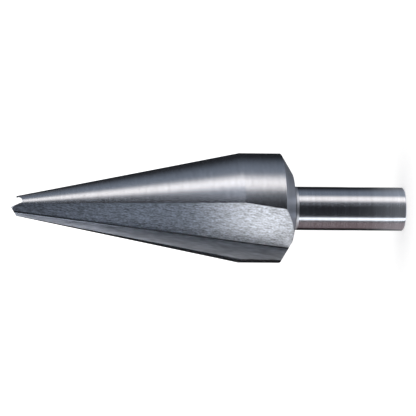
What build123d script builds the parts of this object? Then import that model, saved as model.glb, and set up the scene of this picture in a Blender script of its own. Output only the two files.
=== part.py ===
"""Conical drill for opening round holes in tube and sheet, ground from one bar of tool steel.

The tool stands on its shank end, at z = 0, with its axis along +Z and its point up. Two straight V flutes run
from the point out through the chamfer behind the cylindrical band. They lie half a turn apart and cut to the
right. One rounded gash thins the web at the point, on the +X side only, so that one lip reaches the centre.
"""

import os
from math import radians, tan

from build123d import *

# Driving dimensions, in millimetres and degrees.
shank_diameter = 8.0
shank_length = 20.9
shank_end_chamfer = 0.3
shank_root_fillet = 0.3

rear_face_diameter = 13.0
rear_chamfer_length = 2.2
band_diameter = 20.2
band_length = 7.6
cone_length = 40.95
tip_diameter = 3.7
point_length = 1.25

# Each land is ground about its own centre, so that it falls away behind a narrow margin at its cutting edge.
land_relief = 0.12
margin_angle = 190.0

# The flutes: the path of a V wheel, from its root's depth and angle around the axis at both ends of the cone.
flute_count = 2
flute_included_angle = 90.0
flute_root_radius = 0.45
flute_opening_angle = 263.7
flute_front_depth = 0.78
flute_front_angle = 169.4
flute_rear_depth = 3.82
flute_rear_angle = 190.8
flute_run_out = 3.0

# The gash at the point: a straight floor that climbs from the lip back to a round throat.
gash_lip = 0.28
gash_floor_angle = 23.7
gash_length = 2.2
gash_throat_radius = 0.7
gash_throat_offset = 0.88
gash_throat_setback = 1.65
gash_mouth_setback = 1.23
gash_run_out = 0.5

# Places that follow from the driving dimensions.
shank_radius = shank_diameter / 2
rear_face_radius = rear_face_diameter / 2
band_radius = band_diameter / 2
tip_radius = tip_diameter / 2
rear_face_z = shank_length
band_rear_z = rear_face_z + rear_chamfer_length
shoulder_z = band_rear_z + band_length
tip_z = shoulder_z + cone_length
point_z = tip_z + point_length


def polar(radius, angle, z):
    """Give the point at a radius, an angle around the axis and a height."""
    return Vector(radius, 0, z).rotate(Axis.Z, angle)


def flute_plane(turn):
    """Give the plane square to a flute's path, ahead of the point, with x towards the flute's mouth."""
    front = polar(tip_radius - flute_front_depth, flute_front_angle + turn, tip_z)
    rear = polar(band_radius - flute_rear_depth, flute_rear_angle + turn, shoulder_z)
    path = rear - front
    start = front - path * ((point_length + flute_run_out) / cone_length)
    return Plane(origin=start, x_dir=polar(1, flute_opening_angle + turn, 0), z_dir=path)


with BuildPart() as conical_drill:
    # The head: two round bodies on centres shifted across the margins, and what they have in common.
    for shift, mode in ((land_relief, Mode.ADD), (-land_relief, Mode.INTERSECT)):
        centre = polar(shift, margin_angle + 90, 0)
        with BuildSketch(Plane(origin=centre, x_dir=(1, 0, 0), z_dir=(0, -1, 0))):
            Polygon(
                (0, rear_face_z),
                (rear_face_radius, rear_face_z),
                (band_radius, band_rear_z),
                (band_radius, shoulder_z),
                (tip_radius, tip_z),
                (0, point_z),
                align=None,
            )
        revolve(axis=Axis(centre, (0, 0, 1)), mode=mode)

    # The shank, with its root fillet and the chamfer at its end.
    with BuildSketch():
        Circle(shank_radius)
    extrude(amount=rear_face_z)
    rear_rims = conical_drill.edges().filter_by_position(Axis.Z, rear_face_z, rear_face_z)
    fillet(rear_rims.sort_by(SortBy.RADIUS)[0], shank_root_fillet)
    chamfer(conical_drill.edges().group_by(Axis.Z)[0], shank_end_chamfer)

    # The flutes: one V on a plane square to each path, rounded at the root.
    with BuildSketch(*[flute_plane(turn * 360 / flute_count) for turn in range(flute_count)]) as wheel:
        half_width = band_diameter * tan(radians(flute_included_angle / 2))
        Polygon((0, 0), (band_diameter, -half_width), (band_diameter, half_width), align=None)
        fillet(wheel.vertices().sort_by(Axis.X)[0], flute_root_radius)
    extrude(amount=point_z - rear_face_z + 2 * flute_run_out, mode=Mode.SUBTRACT)

    # The gash: the wedge ahead of its floor, and its throat, across the whole point.
    with BuildSketch(Plane.XZ):
        rise = tan(radians(gash_floor_angle))
        Polygon(
            (-gash_lip - gash_run_out * rise, point_z + gash_run_out),
            (-gash_lip + gash_length * rise, point_z - gash_length),
            (gash_throat_offset, point_z - gash_throat_setback),
            (gash_throat_offset, point_z - gash_mouth_setback),
            (tip_radius + gash_run_out, point_z - gash_mouth_setback),
            (tip_radius + gash_run_out, point_z + gash_run_out),
            align=None,
        )
        with Locations((gash_throat_offset, point_z - gash_throat_setback)):
            Circle(gash_throat_radius)
    extrude(amount=tip_diameter, both=True, mode=Mode.SUBTRACT)

conical_drill.part.label = "conical_drill"
os.makedirs("parts", exist_ok=True)
export_step(conical_drill.part, "parts/conical_drill.step")
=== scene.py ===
"""Dress the conical drill and set up the studio around it.

The drill is turned, relieved and ground again here from the same sizes as its construction, finely enough
for smooth reflections, and every ground surface gets its own finish. The drill's sizes are in millimetres
until they reach a mesh, and the studio's are in metres.
"""

from __future__ import annotations

import logging
import math
from dataclasses import dataclass, field
from enum import Enum
from typing import Any, Callable, Mapping, Sequence

import bpy
from mathutils import Matrix, Vector


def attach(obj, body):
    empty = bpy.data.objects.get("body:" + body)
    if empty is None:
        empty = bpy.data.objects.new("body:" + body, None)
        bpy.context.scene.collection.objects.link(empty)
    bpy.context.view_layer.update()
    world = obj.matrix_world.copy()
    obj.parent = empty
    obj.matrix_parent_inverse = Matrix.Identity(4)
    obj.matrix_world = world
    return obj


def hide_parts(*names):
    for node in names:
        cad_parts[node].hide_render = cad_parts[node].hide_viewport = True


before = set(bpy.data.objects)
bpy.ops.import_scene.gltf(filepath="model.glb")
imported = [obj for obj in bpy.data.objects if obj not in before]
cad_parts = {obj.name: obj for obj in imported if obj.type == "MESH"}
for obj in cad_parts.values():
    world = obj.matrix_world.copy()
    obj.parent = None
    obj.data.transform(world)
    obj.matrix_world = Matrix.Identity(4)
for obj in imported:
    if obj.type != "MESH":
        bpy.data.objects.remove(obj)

log = logging.getLogger("conical_drill")

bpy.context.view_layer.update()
MM = 0.001
FULL_TURN = 2 * math.pi
WHITE = "#ffffff"

# Points no further apart than this, in metres, are taken as one.
SAME_PLACE = MM / 1000


class Pick(Enum):
    """What an edit-mode selection is made of."""

    POINTS = "VERT"
    EDGES = "EDGE"


class Region(Enum):
    """The differently finished surfaces of the drill, in the order of their material slots."""

    LAND = 0
    CLEARANCE_WALL = 1
    CUTTING_FACE = 2
    # The head's rear chamfer: turned dull, and darkened by painted shade.
    REAR_CHAMFER = 3
    SHANK = 4
    SHANK_END = 5
    GASH = 6
    # The flute's root, darkened by painted shade.
    FLUTE_ROOT = 7
    # A duller ring on the shank, lightened by a painted highlight.
    WHEEL_RUN_OUT = 8
    # A ring round the shank's root, darkened by painted shade.
    SHANK_ROOT = 9


def polar(radius: float, degrees: float, height: float = 0.0) -> Vector:
    """Give a point from its place around the drill's axis.

    Args:
        radius: the distance from the axis.
        degrees: the angle round the axis, from +X towards +Y.
        height: the height above the shank's end.

    Returns:
        The point, in the unit of its radius and height.
    """
    turn = math.radians(degrees)
    return Vector((radius * math.cos(turn), radius * math.sin(turn), height))


def deselect_all() -> None:
    """Leave edit mode and deselect every object."""
    if bpy.context.mode != "OBJECT":
        bpy.ops.object.mode_set(mode="OBJECT")
    bpy.ops.object.select_all(action="DESELECT")


def activate(piece: bpy.types.Object) -> None:
    """Make one object the only selected one, and the active one.

    Args:
        piece: the object.
    """
    deselect_all()
    piece.select_set(True)
    bpy.context.view_layer.objects.active = piece


def pick(piece: bpy.types.Object, kind: Pick, test: Callable[[Any], bool]) -> None:
    """Select parts of a mesh by a test, and leave the mesh in edit mode.

    Args:
        piece: the object whose mesh is edited.
        kind: whether points or edges are selected.
        test: says of each one whether it is wanted.
    """
    bpy.ops.object.mode_set(mode="EDIT")
    bpy.ops.mesh.select_mode(type=kind.value)
    bpy.ops.mesh.select_all(action="DESELECT")
    bpy.ops.object.mode_set(mode="OBJECT")
    for item in piece.data.vertices if kind is Pick.POINTS else piece.data.edges:
        item.select = bool(test(item))
    bpy.ops.object.mode_set(mode="EDIT")


def draw_outline(name: str, points: Sequence[Vector]) -> bpy.types.Object:
    """Draw an open line of edges through the given points, and leave it in edit mode.

    Args:
        name: the new object's name.
        points: the corners, in metres.

    Returns:
        The new object, with its last point selected.
    """
    deselect_all()
    bpy.ops.mesh.primitive_plane_add(size=MM)
    line = bpy.context.object
    line.name = name
    bpy.ops.object.mode_set(mode="EDIT")
    bpy.ops.mesh.select_mode(type=Pick.POINTS.value)
    bpy.ops.mesh.select_all(action="SELECT")
    bpy.ops.mesh.merge(type="CENTER")
    bpy.ops.transform.translate(value=points[0])
    for start, end in zip(points, points[1:]):
        bpy.ops.mesh.extrude_vertices_move(TRANSFORM_OT_translate={"value": end - start})
    return line


@dataclass(frozen=True)
class Blank:
    """The turned and relieved blank, before its flutes are ground. Sizes are in millimetres."""

    shank_radius: float = 4.0
    shank_length: float = 20.9
    shank_end_chamfer: float = 0.3
    shank_root_fillet: float = 0.3
    # The shank's two rings next to the rear face, each measured from it: a dark one of painted shade, and
    # beyond it a duller one with a painted highlight.
    shaded_root_length: float = 0.52
    run_out_highlight_length: float = 0.95
    rear_face_radius: float = 6.5
    rear_chamfer_length: float = 2.2
    band_radius: float = 10.1
    band_length: float = 7.6
    cone_length: float = 40.95
    tip_radius: float = 1.85
    point_length: float = 1.25
    land_relief: float = 0.12
    margin_angle: float = 190.0
    margin_seam: float = 0.005
    edge_break: float = 0.08
    steps: int = 512
    fillet_steps: int = 24
    break_steps: int = 12

    @property
    def band_rear(self) -> float:
        """Height of the band's rear edge."""
        return self.shank_length + self.rear_chamfer_length

    @property
    def shoulder(self) -> float:
        """Height of the shoulder, where the cone meets the band."""
        return self.band_rear + self.band_length

    @property
    def tip(self) -> float:
        """Height of the front of the cone."""
        return self.shoulder + self.cone_length

    @property
    def point(self) -> float:
        """Height of the point that the blank is turned to."""
        return self.tip + self.point_length

    def profile(self) -> list[tuple[float, float]]:
        """Draw the half section.

        Returns:
            Its corners as radius and height, from the centre of the shank's end to the point.
        """
        centre_radius = self.shank_radius + self.shank_root_fillet
        centre_height = self.shank_length - self.shank_root_fillet
        fillet = []
        for step in range(self.fillet_steps + 1):
            turn = math.pi - math.pi / 2 * step / self.fillet_steps
            fillet.append((centre_radius + self.shank_root_fillet * math.cos(turn),
                           centre_height + self.shank_root_fillet * math.sin(turn)))
        relieved_point = self.point - self.land_relief * self.point_length / self.tip_radius
        return [
            (0.0, 0.0),
            (self.shank_radius - self.shank_end_chamfer, 0.0),
            (self.shank_radius, self.shank_end_chamfer),
            (self.shank_radius, self.shank_length - self.run_out_highlight_length),
            (self.shank_radius, self.shank_length - self.shaded_root_length),
            *fillet,
            (self.rear_face_radius, self.shank_length),
            (self.band_radius, self.band_rear),
            (self.band_radius, self.shoulder),
            (self.tip_radius, self.tip),
            (0.0, relieved_point),
        ]

    def turn(self, name: str) -> bpy.types.Object:
        """Spin the half section into the blank and relieve its lands.

        Args:
            name: the new object's name.

        Returns:
            The blank, in object mode.
        """
        points = [polar(radius, self.margin_angle, height) * MM for radius, height in self.profile()]
        blank = draw_outline(name, points)
        rear_edges = ((self.rear_face_radius, self.shank_length), (self.band_radius, self.band_rear))
        for radius, height in rear_edges:
            corner = polar(radius, self.margin_angle, height) * MM
            pick(blank, Pick.POINTS, lambda point: (point.co - corner).length < SAME_PLACE)
            bpy.ops.mesh.bevel(affect="VERTICES", offset=self.edge_break * MM, segments=self.break_steps)
        bpy.ops.mesh.select_all(action="SELECT")
        bpy.ops.mesh.spin(steps=self.steps, angle=FULL_TURN, center=(0, 0, 0), axis=(0, 0, 1))
        bpy.ops.mesh.select_all(action="SELECT")
        bpy.ops.mesh.remove_doubles(threshold=SAME_PLACE)
        bpy.ops.mesh.normals_make_consistent(inside=False)
        self.relieve(blank)
        bpy.ops.object.mode_set(mode="OBJECT")
        return blank

    def relieve(self, blank: bpy.types.Object) -> None:
        """Press the halves of the head together across the margins, so that each land has its own centre.

        Args:
            blank: the turned blank.
        """
        margin, across = polar(1, self.margin_angle), polar(1, self.margin_angle + 90)
        relief = self.land_relief * MM
        neck = (self.shank_radius + self.rear_face_radius) / 2 * MM

        def on_head(point: bpy.types.MeshVertex) -> bool:
            """Say whether a point lies on the head, and not on the shank."""
            return math.hypot(point.co.x, point.co.y) > neck or point.co.z > self.shoulder * MM

        pick(blank, Pick.POINTS, lambda point: on_head(point) and abs(point.co.dot(across)) <= relief)
        bpy.ops.transform.resize(
            value=(0, 1, 1), orient_matrix=(across, margin, (0, 0, 1)), orient_matrix_type="GLOBAL",
            constraint_axis=(True, False, False), center_override=(0, 0, 0))
        for side in (1, -1):
            pick(blank, Pick.POINTS, lambda point: on_head(point) and point.co.dot(across) * side > relief)
            bpy.ops.transform.translate(value=across * (-side * relief))
        bpy.ops.mesh.select_all(action="SELECT")
        bpy.ops.mesh.remove_doubles(threshold=self.margin_seam * MM)


@dataclass(frozen=True)
class FluteWheel:
    """The rounded V wheel that grinds a flute along a straight path. Sizes are in millimetres and degrees."""

    root_radius: float = 0.45
    # The painted shade of the flute's root reaches as far up each wall as this share of the root's radius.
    root_shade_share: float = 0.7
    opening_angle: float = 263.7
    front_depth: float = 0.78
    front_angle: float = 169.4
    rear_depth: float = 3.82
    rear_angle: float = 190.8
    run_out: float = 3.0
    width: float = 20.2
    root_steps: int = 24

    def path(self, blank: Blank, turn: float) -> tuple[Vector, Vector]:
        """Give the ends of the root's path, run out past the blank, for a flute turned round the axis.

        Args:
            blank: the blank that is ground.
            turn: the flute's turn round the axis, in degrees.

        Returns:
            The front and the rear end, in millimetres.
        """
        front = polar(blank.tip_radius - self.front_depth, self.front_angle + turn, blank.tip)
        rear = polar(blank.band_radius - self.rear_depth, self.rear_angle + turn, blank.shoulder)
        along = (rear - front) / blank.cone_length
        start = front - along * (blank.point_length + self.run_out)
        end = rear + along * (blank.shoulder - blank.shank_length + self.run_out)
        return start, end

    def cutter(self, blank: Blank, turn: float) -> bpy.types.Object:
        """Model the space that the wheel sweeps: a square bar with one rounded edge along the root.

        Args:
            blank: the blank that is ground.
            turn: the flute's turn round the axis, in degrees.

        Returns:
            The cutter, with the regions of its walls and its rounded edge as material indices.
        """
        start, end = self.path(blank, turn)
        length = (end - start).length
        deselect_all()
        bpy.ops.mesh.primitive_cube_add(size=1, location=(0, 0, 0))
        bar = bpy.context.object
        bar.name = "flute_wheel"
        bpy.ops.object.mode_set(mode="EDIT")
        bpy.ops.mesh.select_all(action="SELECT")
        bpy.ops.transform.translate(value=(0.5, 0.5, 0.5))
        bpy.ops.object.mode_set(mode="OBJECT")
        bar.scale = Vector((self.width, self.width, length)) * MM
        activate(bar)
        bpy.ops.object.transform_apply(location=False, rotation=False, scale=True)
        pick(bar, Pick.EDGES, lambda edge: all(
            math.hypot(*bar.data.vertices[index].co.xy) < SAME_PLACE for index in edge.vertices))
        bpy.ops.mesh.bevel(affect="EDGES", offset=self.root_radius * MM, segments=self.root_steps)
        bpy.ops.object.mode_set(mode="OBJECT")
        give_slots(bar)
        for wall in bar.data.polygons:
            region = Region.CUTTING_FACE if wall.center.x < wall.center.y else Region.CLEARANCE_WALL
            # The middle of the rounded edge gets the root's painted shade.
            if max(wall.center.x, wall.center.y) < self.root_shade_share * self.root_radius * MM:
                region = Region.FLUTE_ROOT
            wall.material_index = region.value
        along = (end - start).normalized()
        mouth = polar(1, self.opening_angle + turn)
        mouth = (mouth - along * mouth.dot(along)).normalized()
        side = along.cross(mouth)
        axes = Matrix((mouth, side, along)).transposed()
        bar.matrix_world = (
            Matrix.Translation(start * MM) @ axes.to_4x4() @ Matrix.Rotation(-math.pi / 4, 4, "Z"))
        return bar


@dataclass(frozen=True)
class PointGash:
    """The gash across the point, on the +X side: a straight floor and a round throat.

    Sizes are in millimetres and degrees.
    """

    lip: float = 0.28
    floor_angle: float = 23.7
    throat_radius: float = 0.7
    throat_offset: float = 0.88
    throat_setback: float = 1.65
    mouth_setback: float = 1.23
    run_out: float = 0.5
    throat_steps: int = 64

    def outline(self, blank: Blank) -> list[tuple[float, float]]:
        """Draw the gash from the side.

        Args:
            blank: the blank that is ground.

        Returns:
            The outline as x and height, once round from the front of its floor.
        """
        rise = math.tan(math.radians(self.floor_angle))
        centre = Vector((self.throat_offset, blank.point - self.throat_setback))
        floor_start = Vector((-self.lip, blank.point))
        floor_run = Vector((rise, -1.0)).normalized()
        to_centre = centre - floor_start
        foot = to_centre.dot(floor_run)
        height = (to_centre - floor_run * foot).length
        reach = math.sqrt(self.throat_radius ** 2 - height ** 2)
        floor_end = floor_start + floor_run * (foot + reach)
        mouth_drop = centre.y - (blank.point - self.mouth_setback)
        mouth_reach = math.sqrt(self.throat_radius ** 2 - mouth_drop ** 2)
        first = math.atan2(floor_end.y - centre.y, floor_end.x - centre.x)
        last = math.atan2(-mouth_drop, mouth_reach)
        arc = []
        for step in range(self.throat_steps + 1):
            turn = first + (last - first) * step / self.throat_steps
            arc.append((centre.x + self.throat_radius * math.cos(turn),
                        centre.y + self.throat_radius * math.sin(turn)))
        front = blank.point + self.run_out
        return [
            (-self.lip - self.run_out * rise, front),
            *arc,
            (blank.tip_radius + self.run_out, blank.point - self.mouth_setback),
            (blank.tip_radius + self.run_out, front),
        ]

    def cutter(self, blank: Blank) -> bpy.types.Object:
        """Model the space that the gash wheel sweeps, right across the point.

        Args:
            blank: the blank that is ground.

        Returns:
            The cutter, with the gash's region as its material index.
        """
        reach = 2 * blank.tip_radius * MM
        points = [Vector((x * MM, -reach, z * MM)) for x, z in self.outline(blank)]
        block = draw_outline("gash_wheel", points)
        bpy.ops.mesh.select_all(action="SELECT")
        bpy.ops.mesh.edge_face_add()
        bpy.ops.mesh.extrude_region_move(TRANSFORM_OT_translate={"value": (0, 2 * reach, 0)})
        bpy.ops.mesh.select_all(action="SELECT")
        bpy.ops.mesh.normals_make_consistent(inside=False)
        bpy.ops.object.mode_set(mode="OBJECT")
        give_slots(block)
        for face in block.data.polygons:
            face.material_index = Region.GASH.value
        return block


def linear(code: str) -> tuple[float, float, float, float]:
    """Turn an sRGB colour into the linear colour that shaders take.

    Args:
        code: the colour as "#rrggbb".

    Returns:
        Red, green, blue and an alpha of 1.
    """
    values = []
    for start in (1, 3, 5):
        value = int(code[start:start + 2], 16) / 255
        values.append(value / 12.92 if value <= 0.04045 else ((value + 0.055) / 1.055) ** 2.4)
    return (*values, 1.0)


def add(tree: bpy.types.NodeTree, kind: str, inputs: Mapping[int | str, Any] | None = None,
        **settings: Any) -> bpy.types.Node:
    """Add a node with its settings, its constants and its links.

    Args:
        tree: the node tree that gets the node.
        kind: the node's type.
        inputs: for each input, by name or number, the output that it is linked from or its value.
        settings: the node's own properties.

    Returns:
        The new node.
    """
    node = tree.nodes.new(kind)
    for name, value in settings.items():
        setattr(node, name, value)
    for key, value in (inputs or {}).items():
        if isinstance(value, bpy.types.NodeSocket):
            tree.links.new(value, node.inputs[key])
        else:
            node.inputs[key].default_value = value
    return node


def per_metre(millimetres: float) -> float:
    """Give the scale at which a pattern's features are that many millimetres long."""
    return 1 / (millimetres * MM)


def give_slots(piece: bpy.types.Object) -> None:
    """Give an object one material slot for each region, in the regions' order.

    Args:
        piece: the object.
    """
    for finish in sorted(FINISHES, key=lambda finish: finish.region.value):
        piece.data.materials.append(bpy.data.materials[finish.name])


def flute_coordinates(tree: bpy.types.NodeTree, place: bpy.types.NodeSocket) -> bpy.types.NodeSocket:
    """Turn object coordinates to a flute's path, the same way for both flutes.

    Args:
        tree: the node tree that gets the nodes.
        place: the object coordinates.

    Returns:
        Coordinates with x and z across the path and y along it.
    """
    wheel, blank = FluteWheel(), Blank()
    start, end = wheel.path(blank, 0)
    along = (end - start).normalized()
    mouth = polar(1, wheel.opening_angle)
    across = along.cross(mouth).normalized()
    middle = polar(1, (wheel.opening_angle + wheel.rear_angle) / 2)
    side = add(tree, "ShaderNodeVectorMath", {0: place, 1: middle}, operation="DOT_PRODUCT")
    sign = add(tree, "ShaderNodeMath", {0: side.outputs["Value"]}, operation="SIGN").outputs[0]
    half_turn = add(tree, "ShaderNodeCombineXYZ", {0: sign, 1: sign, 2: 1.0}).outputs[0]
    turned = add(tree, "ShaderNodeVectorMath", {0: place, 1: half_turn}, operation="MULTIPLY").outputs[0]
    parts = [add(tree, "ShaderNodeVectorMath", {0: turned, 1: axis}, operation="DOT_PRODUCT").outputs["Value"]
             for axis in (across, along, mouth)]
    return add(tree, "ShaderNodeCombineXYZ", {0: parts[0], 1: parts[1], 2: parts[2]}).outputs[0]


def ring_coordinates(tree: bpy.types.NodeTree, place: bpy.types.NodeSocket) -> bpy.types.NodeSocket:
    """Turn object coordinates so that their x runs along the drill's axis.

    Args:
        tree: the node tree that gets the nodes.
        place: the object coordinates.

    Returns:
        Coordinates with x along the axis and y and z across it.
    """
    parts = add(tree, "ShaderNodeSeparateXYZ", {0: place}).outputs
    return add(tree, "ShaderNodeCombineXYZ", {0: parts["Z"], 1: parts["X"], 2: parts["Y"]}).outputs[0]


@dataclass(frozen=True)
class SteelFinish:
    """High-speed steel as one operation leaves it: bright grey metal with that operation's fine lines.

    Short lines and longer streaks follow the wheel or the lathe tool. Both vary the tone and the gloss, and
    the short lines are cut into the surface as well. Spacings, lengths and depths are in millimetres.
    """

    region: Region
    name: str
    colour: str
    roughness: float
    anisotropy: float
    line_spacing: float
    line_length: float
    streak_spacing: float
    streak_length: float
    contrast: float
    roughness_swing: float
    line_depth: float
    speck_size: float = 0.0
    along_flute: bool = False

    def marks(self, tree: bpy.types.NodeTree, place: bpy.types.NodeSocket, spacing: float,
              length: float) -> bpy.types.NodeSocket:
        """Draw marks that lie side by side, each one longer than it is wide.

        Args:
            tree: the node tree that gets the nodes.
            place: coordinates whose x runs across the marks.
            spacing: the distance between marks, in millimetres.
            length: their length, in millimetres.

        Returns:
            The marks, as values around a half.
        """
        scale = Vector((per_metre(spacing), per_metre(length), per_metre(length)))
        stretched = add(tree, "ShaderNodeVectorMath", {0: place, 1: scale}, operation="MULTIPLY").outputs[0]
        noise = add(tree, "ShaderNodeTexNoise", {"Vector": stretched, "Scale": 1.0, "Detail": 0.0})
        return noise.outputs["Fac"]

    def build(self) -> bpy.types.Material:
        """Make the material.

        Returns:
            The material, under the finish's name.
        """
        material = bpy.data.materials.new(self.name)
        material.use_nodes = True
        tree = material.node_tree
        steel = tree.nodes["Principled BSDF"]
        steel.inputs["Metallic"].default_value = 1.0
        steel.inputs["Anisotropic"].default_value = self.anisotropy
        steel.inputs["Anisotropic Rotation"].default_value = 0.0 if self.along_flute else QUARTER
        place = add(tree, "ShaderNodeTexCoord").outputs["Object"]
        place = flute_coordinates(tree, place) if self.along_flute else ring_coordinates(tree, place)
        lines = self.marks(tree, place, self.line_spacing, self.line_length)
        streaks = self.marks(tree, place, self.streak_spacing, self.streak_length)
        both = add(tree, "ShaderNodeMath", {0: lines, 1: streaks}, operation="ADD").outputs[0]
        tone = add(tree, "ShaderNodeMapRange", {
            0: both, 1: MARKS_LOW, 2: MARKS_HIGH, 3: 1 - self.contrast, 4: 1 + self.contrast}).outputs[0]
        if self.speck_size:
            grain = self.marks(tree, place, self.speck_size, self.speck_size)
            specks = add(tree, "ShaderNodeMapRange", {
                0: grain, 1: SPECK_LOW, 2: SPECK_HIGH, 3: 1.0, 4: SPECK_TONE}).outputs[0]
            tone = add(tree, "ShaderNodeMath", {0: tone, 1: specks}, operation="MULTIPLY").outputs[0]
        colour = add(tree, "ShaderNodeVectorMath", {
            0: linear(self.colour)[:3], "Scale": tone}, operation="SCALE").outputs[0]
        rough = add(tree, "ShaderNodeMapRange", {
            0: both, 1: MARKS_LOW, 2: MARKS_HIGH, 3: self.roughness - self.roughness_swing,
            4: self.roughness + self.roughness_swing}).outputs[0]
        cut = add(tree, "ShaderNodeBump", {
            "Height": lines, "Strength": 1.0, "Distance": self.line_depth * MM}).outputs[0]
        tree.links.new(colour, steel.inputs["Base Color"])
        tree.links.new(rough, steel.inputs["Roughness"])
        tree.links.new(cut, steel.inputs["Normal"])
        return material


# Of a full turn, as the shader counts it.
QUARTER = 0.25

# Lines and streaks together run from about the low to the high value. Specks show only where the grain peaks.
MARKS_LOW = 0.6
MARKS_HIGH = 1.4
SPECK_LOW = 0.72
SPECK_HIGH = 0.84
SPECK_TONE = 0.8

# Each operation leaves lines a few hundredths of a millimetre apart, too fine to show on the whole drill.
# They are drawn five to ten times as coarse, and as faint as the eye sees them from there.
FINISHES = (
    # High-speed steel, ground between centres: nearly a mirror, softened a little along the axis, with a few
    # pits.
    SteelFinish(
        Region.LAND, "cylindrically_ground_steel", "#b8bdc6", roughness=0.25, anisotropy=0.2,
        line_spacing=0.15, line_length=0.5, streak_spacing=0.35, streak_length=2.5, contrast=0.06,
        roughness_swing=0.01, line_depth=0.00006, speck_size=0.25),
    # High-speed steel, ground by the side of the flute wheel: satin, with bright and dark streaks along the
    # flute, which spread a reflection right across them.
    SteelFinish(
        Region.CLEARANCE_WALL, "wheel_ground_steel", "#b8bfca", roughness=0.40, anisotropy=1.0,
        line_spacing=0.14, line_length=0.4, streak_spacing=0.2, streak_length=1.2, contrast=0.5,
        roughness_swing=0.03, line_depth=0.001, along_flute=True),
    # High-speed steel, ground by the wheel's dressed face: longer, fainter streaks and a smoother sheen along
    # the cutting edge.
    SteelFinish(
        Region.CUTTING_FACE, "face_ground_steel", "#aeb3bb", roughness=0.36, anisotropy=1.0,
        line_spacing=0.2, line_length=1.5, streak_spacing=0.4, streak_length=5.0, contrast=0.25,
        roughness_swing=0.02, line_depth=0.0005, along_flute=True),
    # High-speed steel, turned and left so: dull, and even in tone from every side. Its colour, darker than
    # the other steel's, paints the shade under the head.
    SteelFinish(
        Region.REAR_CHAMFER, "turned_steel_and_shade", "#a0a7b4", roughness=0.42, anisotropy=0.5,
        line_spacing=0.2, line_length=20.0, streak_spacing=0.6, streak_length=60.0, contrast=0.12,
        roughness_swing=0.03, line_depth=0.0005),
    # High-speed steel, ground and polished for the chuck: sharp, long reflections, like a gauge pin.
    SteelFinish(
        Region.SHANK, "polished_shank_steel", "#b8bdc6", roughness=0.20, anisotropy=0.5,
        line_spacing=0.25, line_length=30.0, streak_spacing=1.0, streak_length=40.0, contrast=0.08,
        roughness_swing=0.02, line_depth=0.0002),
    # High-speed steel, faced on the lathe: soft rings on the shank's end.
    SteelFinish(
        Region.SHANK_END, "faced_steel", "#b8bdc6", roughness=0.32, anisotropy=0.5,
        line_spacing=0.25, line_length=30.0, streak_spacing=1.0, streak_length=40.0, contrast=0.1,
        roughness_swing=0.03, line_depth=0.0004),
    # High-speed steel, ground across the point by a thin wheel: short scratches on a satin floor.
    SteelFinish(
        Region.GASH, "gash_ground_steel", "#b8bdc6", roughness=0.36, anisotropy=0.5,
        line_spacing=0.3, line_length=1.5, streak_spacing=0.6, streak_length=3.0, contrast=0.2,
        roughness_swing=0.03, line_depth=0.001),
    # High-speed steel with painted shade along the bottom of each flute: a dark, smooth line that stands in
    # for the shade in the root's crease.
    SteelFinish(
        Region.FLUTE_ROOT, "painted_root_shade_steel", "#6b7077", roughness=0.25, anisotropy=0.5,
        line_spacing=0.3, line_length=6.0, streak_spacing=0.9, streak_length=12.0, contrast=0.2,
        roughness_swing=0.03, line_depth=0.001, along_flute=True),
    # High-speed steel, ground where the wheel runs out: a duller ring before the shank's root, whose colour,
    # lighter than the shank's, is a painted highlight.
    SteelFinish(
        Region.WHEEL_RUN_OUT, "run_out_steel_and_highlight", "#c0c5ce", roughness=0.42, anisotropy=0.0,
        line_spacing=0.25, line_length=20.0, streak_spacing=1.0, streak_length=30.0, contrast=0.08,
        roughness_swing=0.03, line_depth=0.0002),
    # High-speed steel with painted shade: a dark, rough line round the shank's root, where the rear face
    # shades it.
    SteelFinish(
        Region.SHANK_ROOT, "painted_shade_root_steel", "#7c8189", roughness=0.6, anisotropy=0.0,
        line_spacing=0.25, line_length=20.0, streak_spacing=1.0, streak_length=30.0, contrast=0.1,
        roughness_swing=0.03, line_depth=0.0005),
)


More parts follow.
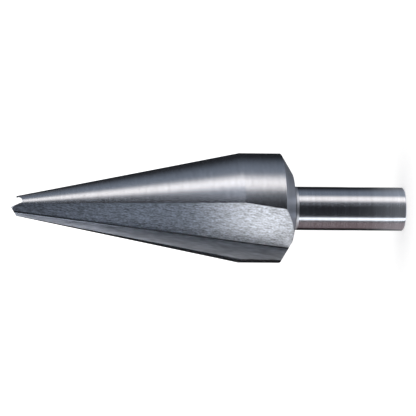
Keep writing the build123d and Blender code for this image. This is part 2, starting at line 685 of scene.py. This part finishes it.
@dataclass
class ConicalDrill:
    """The whole drill: the turned blank, ground by the flute wheel and the gash wheel."""

    blank: Blank = field(default_factory=Blank)
    wheel: FluteWheel = field(default_factory=FluteWheel)
    gash: PointGash = field(default_factory=PointGash)
    flutes: int = 2
    smooth_angle: float = 6.0
    # On the head's rear, a face belongs to the chamfer where its normal's z is below this.
    chamfer_facing: float = -0.4

    def region_of(self, face: bpy.types.MeshPolygon) -> Region:
        """Say which region of the blank a face belongs to, from its place and normal.

        Args:
            face: a face of the blank.

        Returns:
            Its region.
        """
        blank = self.blank
        height = face.center.z / MM
        radius = math.hypot(face.center.x, face.center.y) / MM
        if height < blank.shank_length and radius < blank.shank_radius + blank.shank_root_fillet:
            if face.center.z < SAME_PLACE:
                return Region.SHANK_END
            # The ring next to the rear face gets painted shade, and the duller ring beyond it a painted
            # highlight.
            if height > blank.shank_length - blank.shaded_root_length:
                return Region.SHANK_ROOT
            # The duller ring's lighter colour is a painted highlight.
            if height > blank.shank_length - blank.run_out_highlight_length:
                return Region.WHEEL_RUN_OUT
            return Region.SHANK
        if height < blank.band_rear and face.normal.z < self.chamfer_facing:
            return Region.REAR_CHAMFER
        return Region.LAND

    def grind(self, piece: bpy.types.Object, cutter: bpy.types.Object) -> None:
        """Cut one wheel's swept space out of the drill, and keep the cutter's regions on the cut faces.

        Args:
            piece: the drill.
            cutter: the wheel's swept space, which is deleted afterwards.
        """
        activate(piece)
        cut = piece.modifiers.new("cut", "BOOLEAN")
        cut.operation = "DIFFERENCE"
        cut.solver = "EXACT"
        cut.material_mode = "TRANSFER"
        cut.object = cutter
        bpy.ops.object.modifier_apply(modifier=cut.name)
        activate(cutter)
        bpy.ops.object.delete()

    def build(self) -> bpy.types.Object:
        """Turn, grind and dress the drill.

        Returns:
            The drill, in place of its construction.
        """
        piece = self.blank.turn("ground_drill")
        give_slots(piece)
        for face in piece.data.polygons:
            face.material_index = self.region_of(face).value
        for number in range(self.flutes):
            self.grind(piece, self.wheel.cutter(self.blank, number * 360 / self.flutes))
        self.grind(piece, self.gash.cutter(self.blank))
        activate(piece)
        bpy.ops.object.shade_smooth_by_angle(angle=math.radians(self.smooth_angle))
        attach(piece, "root")
        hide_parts("conical_drill")
        return piece


def seen_share(tree: bpy.types.NodeTree) -> bpy.types.NodeSocket:
    """Tell rays that show a thing to the eye from rays that only gather its light.

    Args:
        tree: the node tree that gets the nodes.

    Returns:
        1 for a ray from the camera and for a mirrored or refracted one, and 0 for the others.
    """
    ray = add(tree, "ShaderNodeLightPath").outputs
    seen = ray["Is Camera Ray"]
    for kind in ("Is Glossy Ray", "Is Transmission Ray"):
        seen = add(tree, "ShaderNodeMath", {0: seen, 1: ray[kind]}, operation="MAXIMUM").outputs[0]
    return seen


@dataclass(frozen=True)
class Panel:
    """A lit panel on the inside of the light tent.

    Angles are from the front, upwards over +X, in degrees. Heights are in metres, and the light fades in
    below the lowest one and fades out above the highest one.
    """

    middle: float
    half_width: float
    edge: float
    strength: float
    colour: str = WHITE
    low: float = 0.0
    high: float = 0.6
    fade_in: float = 0.01
    fade_out: float = 0.01


@dataclass(frozen=True)
class LightTent:
    """A round cloth tent with lit panels. The steel reflects it, and everything else sees through it.

    Its half section is given as radius and height in metres: a dish just over the floor, a wall and a roof.
    The wall and the roof stand off towards +X, and close to the shank the panels bend round it.
    """

    section: tuple[tuple[float, float], ...] = (
        (0.0037, 0.0001), (0.05, 0.001), (0.16, 0.008), (0.16, 0.18), (0.0, 0.2))
    wall_offset: float = 0.09
    bend: float = 0.25
    sides: int = 128
    base: float = 0.022
    base_colour: str = "#e4ecff"
    panels: tuple[Panel, ...] = (
        # The long highlight along the lands and the shank, a little further round for the cone than for the
        # band.
        Panel(53, 3, 21, 1.55, "#fff3e6", high=0.03, fade_out=0.03),
        Panel(58, 2, 20, 1.66, "#fff3e6", low=0.06, fade_in=0.03),
        # The grey slope on either side of it.
        Panel(26, 4, 14, 0.08, high=0.004),
        Panel(75, 10, 50, 0.33, "#e4efff"),
        Panel(0, 50, 40, 0.014),
        # The floor's light on the end of the shank.
        Panel(180, 180, 10, 0.2, high=0.0003, fade_out=0.0006),
        # The light on the cutting face near the point.
        Panel(38, 15, 12, 4.7, "#f4f6ff", low=0.046, high=0.0505, fade_in=0.012, fade_out=0.008),
        # The thin bright line along the shank and the warm grey below it.
        Panel(-57, 3, 9, 2.4, high=0.012, fade_out=0.008),
        Panel(-100, 18, 14, 0.28, "#ffdcd8", high=0.012, fade_out=0.008),
        # The bright rear of the clearance wall, brightest along its outer edge, and its cooler front.
        Panel(-97, 13, 11, 3.0, "#fff8f0", low=0.0255, high=0.031, fade_in=0.004, fade_out=0.011),
        Panel(-61, 12, 12, 2.5, "#fff8f0", low=0.022, high=0.031, fade_in=0.004, fade_out=0.011),
        Panel(-75, 40, 15, 0.44, "#eaf2ff", low=0.03, high=0.05, fade_in=0.01, fade_out=0.05),
        # The back of the tent: a spot for the rear chamfer, and plain light for the side turned away.
        Panel(180, 20, 15, 0.35, low=0.0009, high=0.0013, fade_in=0.0002, fade_out=0.0004),
        Panel(180, 50, 20, 0.9, low=0.115, fade_in=0.02),
        Panel(175, 4, 8, 0.45, "#eef2ff"),
        # A black flag, which takes the cloth's own light away from the underside.
        Panel(-153, 17, 9, -0.02, "#e4ecff"),
    )

    def build(self) -> None:
        """Model the tent as part of the stage, and give it its glowing cloth."""
        tent = draw_outline("light_tent", [Vector((radius, 0, height)) for radius, height in self.section])
        bpy.ops.mesh.select_all(action="SELECT")
        bpy.ops.mesh.spin(steps=self.sides, angle=FULL_TURN, center=(0, 0, 0), axis=(0, 0, 1))
        bpy.ops.mesh.select_all(action="SELECT")
        bpy.ops.mesh.remove_doubles(threshold=SAME_PLACE)
        wall_foot = self.section[2][1]
        pick(tent, Pick.POINTS, lambda point: point.co.z > wall_foot - SAME_PLACE)
        bpy.ops.transform.translate(value=(self.wall_offset, 0, 0))
        bpy.ops.object.mode_set(mode="OBJECT")
        tent.data.materials.append(self.cloth())
        tent.visible_camera = False
        tent.visible_diffuse = False
        tent.visible_shadow = False
        tent.visible_transmission = False

    def cloth(self) -> bpy.types.Material:
        """Make the cloth: a dim base colour and the sum of the panels.

        Returns:
            The glowing material.
        """
        # Thin white tent cloth, lit from behind: soft glows with no weave to see.
        material = bpy.data.materials.new("tent_cloth")
        material.use_nodes = True
        tree = material.node_tree
        tree.nodes.clear()
        place = add(tree, "ShaderNodeTexCoord").outputs["Object"]
        parts = add(tree, "ShaderNodeSeparateXYZ", {0: place})
        front = add(tree, "ShaderNodeMath", {0: parts.outputs["Y"], 1: -1.0}, operation="MULTIPLY").outputs[0]
        angle = add(tree, "ShaderNodeMath", {0: parts.outputs["X"], 1: front}, operation="ARCTAN2").outputs[0]
        # The bend lets the panels mirror as straight lines in the shank's front.
        shank_radius = Blank().shank_radius * MM
        flat = add(tree, "ShaderNodeCombineXYZ", {0: parts.outputs["X"], 1: parts.outputs["Y"]}).outputs[0]
        away = add(tree, "ShaderNodeVectorMath", {0: flat}, operation="LENGTH").outputs["Value"]
        near = add(tree, "ShaderNodeMath", {0: shank_radius, 1: away}, operation="DIVIDE").outputs[0]
        near = add(tree, "ShaderNodeMath", {0: near, 1: near, 2: near}, operation="MULTIPLY_ADD").outputs[0]
        facing = add(tree, "ShaderNodeMath", {0: front, 1: away}, operation="DIVIDE").outputs[0]
        share = add(tree, "ShaderNodeMath", {
            0: facing, 1: self.bend, 2: self.bend}, operation="MULTIPLY_ADD").outputs[0]
        stretch = add(tree, "ShaderNodeMath", {
            0: near, 1: share, 2: 1.0}, operation="MULTIPLY_ADD").outputs[0]
        angle = add(tree, "ShaderNodeMath", {0: angle, 1: stretch}, operation="MULTIPLY").outputs[0]
        base = [value * self.base for value in linear(self.base_colour)[:3]]
        total = add(tree, "ShaderNodeCombineXYZ", {0: base[0], 1: base[1], 2: base[2]}).outputs[0]
        for panel in self.panels:
            glow = self.glow(tree, angle, parts.outputs["Z"], panel)
            colour = [value * panel.strength for value in linear(panel.colour)[:3]]
            light = add(tree, "ShaderNodeVectorMath", {0: colour, "Scale": glow}, operation="SCALE")
            total = add(tree, "ShaderNodeVectorMath", {
                0: total, 1: light.outputs[0]}, operation="ADD").outputs[0]
        emission = add(tree, "ShaderNodeEmission", {"Color": total, "Strength": 1.0})
        add(tree, "ShaderNodeOutputMaterial", {"Surface": emission.outputs[0]})
        return material

    def glow(self, tree: bpy.types.NodeTree, angle: bpy.types.NodeSocket, height: bpy.types.NodeSocket,
             panel: Panel) -> bpy.types.NodeSocket:
        """Light one panel, with soft edges round the tent and up it.

        Args:
            tree: the cloth's node tree.
            angle: the angle round the tent, in radians.
            height: the height up the tent, in metres.
            panel: the panel.

        Returns:
            Its brightness, from 0 to 1.
        """
        turn = add(tree, "ShaderNodeMath", {0: angle, 1: math.radians(panel.middle)}, operation="SUBTRACT")
        turn = add(tree, "ShaderNodeMath", {0: turn.outputs[0], 1: math.pi, 2: -math.pi}, operation="WRAP")
        away = add(tree, "ShaderNodeMath", {0: turn.outputs[0]}, operation="ABSOLUTE").outputs[0]
        inner, outer = math.radians(panel.half_width), math.radians(panel.half_width + panel.edge)
        across = add(tree, "ShaderNodeMapRange", {0: away, 1: inner, 2: outer, 3: 1.0, 4: 0.0},
                     interpolation_type="SMOOTHSTEP").outputs[0]
        above = add(tree, "ShaderNodeMapRange", {
            0: height, 1: panel.low - panel.fade_in, 2: panel.low, 3: 0.0, 4: 1.0},
            interpolation_type="SMOOTHSTEP").outputs[0]
        below = add(tree, "ShaderNodeMapRange", {
            0: height, 1: panel.high, 2: panel.high + panel.fade_out, 3: 1.0, 4: 0.0},
            interpolation_type="SMOOTHSTEP").outputs[0]
        upright = add(tree, "ShaderNodeMath", {0: above, 1: below}, operation="MULTIPLY").outputs[0]
        return add(tree, "ShaderNodeMath", {0: across, 1: upright}, operation="MULTIPLY").outputs[0]


@dataclass(frozen=True)
class Studio:
    """The floor, the lamp, the world and the camera. Lengths are in metres and angles in degrees."""

    floor_size: float = 6.0
    paper_colour: str = "#f4f4f4"
    # The paper's own glow, which grows from the shadow's reach until it is full where the floor is all white.
    floor_glow: float = 0.55
    shadow_reach: float = 0.08
    white_from: float = 0.4
    lamp_height: float = 0.9
    lamp_size: float = 0.8
    lamp_power: float = 3.0
    world_light: float = 0.3
    camera_distance: float = 0.8
    camera_elevation: float = 7.217
    camera_roll: float = 0.48
    focal_pixels: float = 4352.4
    frame_pixels: float = 416.0
    aim: tuple[float, float, float] = (-0.0000775, 0.0, 0.036343)
    clip: tuple[float, float] = (0.01, 100.0)

    def lay_floor(self) -> None:
        """Lay the paper floor, which keeps the drill's shadow near it and is white further off."""
        deselect_all()
        bpy.ops.mesh.primitive_plane_add(size=self.floor_size, location=(0, 0, 0))
        floor = bpy.context.object
        floor.name = "floor"
        # Matt white paper, lit from below: it shows a soft shadow near the drill and nothing else.
        material = bpy.data.materials.new("matt_white_paper")
        material.use_nodes = True
        tree = material.node_tree
        tree.nodes.clear()
        place = add(tree, "ShaderNodeTexCoord").outputs["Object"]
        away = add(tree, "ShaderNodeVectorMath", {0: place}, operation="LENGTH").outputs["Value"]
        glow = add(tree, "ShaderNodeMapRange", {
            0: away, 1: self.shadow_reach, 2: self.white_from, 3: self.floor_glow, 4: 1.0}).outputs[0]
        glow = add(tree, "ShaderNodeMath", {0: seen_share(tree), 1: glow}, operation="MULTIPLY").outputs[0]
        paper = add(tree, "ShaderNodeBsdfDiffuse", {"Color": linear(self.paper_colour)}).outputs[0]
        light = add(tree, "ShaderNodeEmission", {"Color": linear(WHITE), "Strength": glow}).outputs[0]
        both = add(tree, "ShaderNodeAddShader", {0: paper, 1: light}).outputs[0]
        add(tree, "ShaderNodeOutputMaterial", {"Surface": both})
        floor.data.materials.append(material)

    def hang_lamp(self) -> None:
        """Hang a soft lamp over the drill."""
        deselect_all()
        bpy.ops.object.light_add(type="AREA", location=(0.0, 0.0, self.lamp_height))
        lamp = bpy.context.object
        lamp.name = "soft_lamp"
        lamp.data.size = self.lamp_size
        lamp.data.energy = self.lamp_power
        lamp.visible_camera = False

    def light_world(self) -> None:
        """Make the world plain: white where it is seen, and dim as light."""
        world = bpy.data.worlds.new("studio")
        bpy.context.scene.world = world
        world.use_nodes = True
        tree = world.node_tree
        tree.nodes.clear()
        dim, full = (
            add(tree, "ShaderNodeBackground", {"Color": linear(WHITE), "Strength": strength}).outputs[0]
            for strength in (self.world_light, 1.0))
        mixed = add(tree, "ShaderNodeMixShader", {0: seen_share(tree), 1: dim, 2: full}).outputs[0]
        add(tree, "ShaderNodeOutputWorld", {"Surface": mixed})

    def set_camera(self) -> None:
        """Set the camera a little to the point's side, turned so that the drill lies flat in its frame."""
        tilt, roll = math.radians(self.camera_elevation), math.radians(self.camera_roll)
        back = Vector((0, -math.cos(tilt), math.sin(tilt)))
        level_right = Vector((0, -math.sin(tilt), -math.cos(tilt)))
        level_up = Vector((1, 0, 0))
        right = math.cos(roll) * level_right + math.sin(roll) * level_up
        up = math.cos(roll) * level_up - math.sin(roll) * level_right
        deselect_all()
        bpy.ops.object.camera_add()
        camera = bpy.context.object
        camera.matrix_world = (
            Matrix.Translation(Vector(self.aim) + back * self.camera_distance)
            @ Matrix((right, up, back)).transposed().to_4x4())
        camera.data.lens = camera.data.sensor_width * self.focal_pixels / self.frame_pixels
        camera.data.clip_start, camera.data.clip_end = self.clip
        bpy.context.scene.camera = camera

    def build(self) -> None:
        """Set the whole studio."""
        self.lay_floor()
        self.hang_lamp()
        self.light_world()
        self.set_camera()
        LightTent().build()


def main() -> None:
    """Build the finishes, the drill and the studio, in that order."""
    logging.basicConfig(level=logging.INFO, format="%(message)s")
    bpy.context.scene.view_settings.view_transform = "Standard"
    for finish in FINISHES:
        material = finish.build()
        log.info("finish %s", material.name)
    drill = ConicalDrill().build()
    log.info("piece %s: %d faces", drill.name, len(drill.data.polygons))
    Studio().build()


if __name__ == "__main__":
    main()
